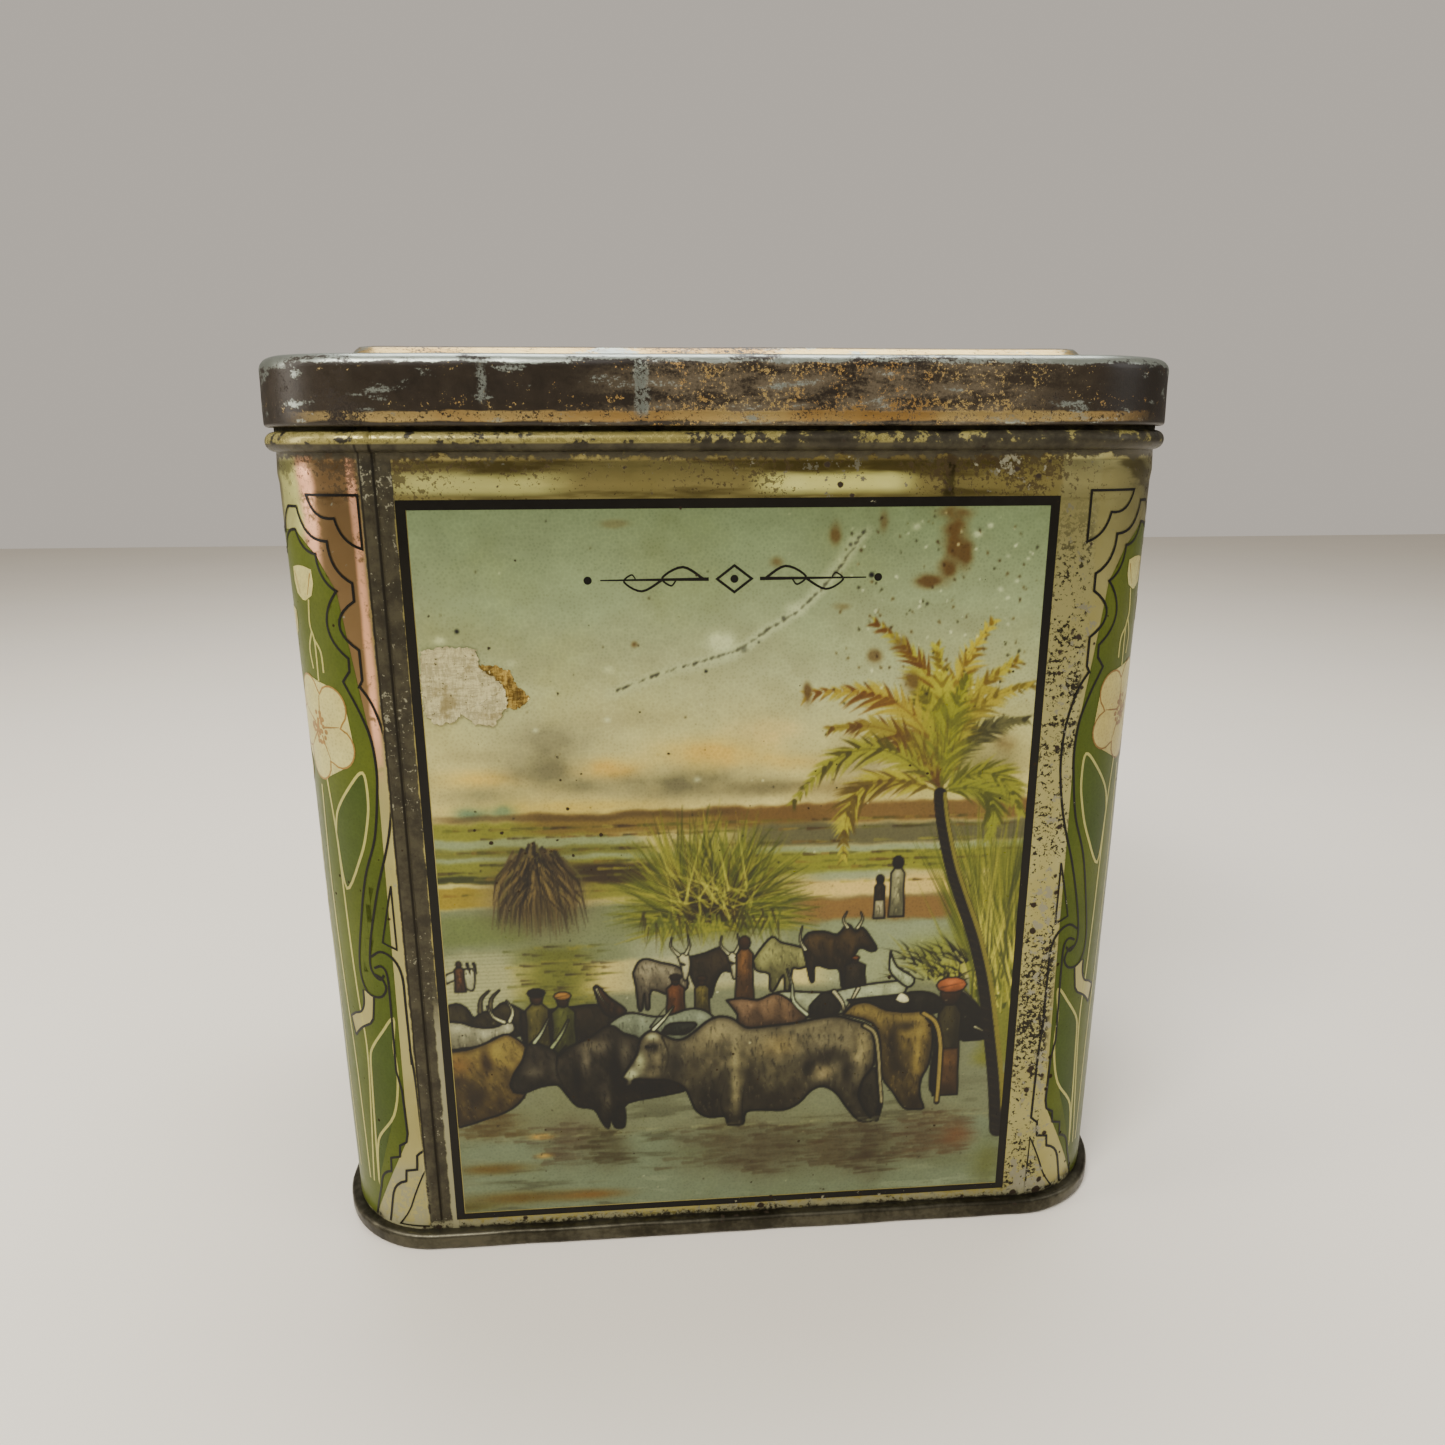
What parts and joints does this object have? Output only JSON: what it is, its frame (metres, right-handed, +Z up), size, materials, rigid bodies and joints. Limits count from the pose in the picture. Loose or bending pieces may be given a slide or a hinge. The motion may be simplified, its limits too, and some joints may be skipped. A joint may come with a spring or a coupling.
{
  "type": "coffee tin",
  "caption": "Rounded rectangular lithographed storage tin with a rolled stop bead, a crimped bottom end, a soldered side seam and a lift-off slip lid with a raised platform.",
  "frame": {"origin": "centre of the base, on the surface the tin stands on", "axes": "+Z up, the front face with the picture towards -Y, +X to the viewer's right"},
  "size_m": [0.1846, 0.1176, 0.1958],
  "materials": {
    "printed_tin": "litho print over gold lacquer, semi-gloss, worn and rusted along the edges",
    "solder": "dull oxidised tin-lead solder",
    "bare_tin": "darkened tinplate, satin, with rust specks",
    "lid_tin": "gold lacquer darkened to brown, satin, worn to copper gold on its edges",
    "paper": "torn grey-white paper, matte",
    "glue": "dried brown glue with paper fibres, matte"
  },
  "bodies": {
    "tin": {"body_shell": "printed_tin", "side_seam_solder": "solder", "bottom_end": "bare_tin", "label_remnant": "paper", "label_glue": "glue"},
    "lid": {"lid": "lid_tin"}
  },
  "joints": [
    {"name": "lid_lift", "type": "slide", "parent": "tin", "child": "lid", "axis": [0, 0, 1], "range_m": [0, 0.06]}
  ]
}
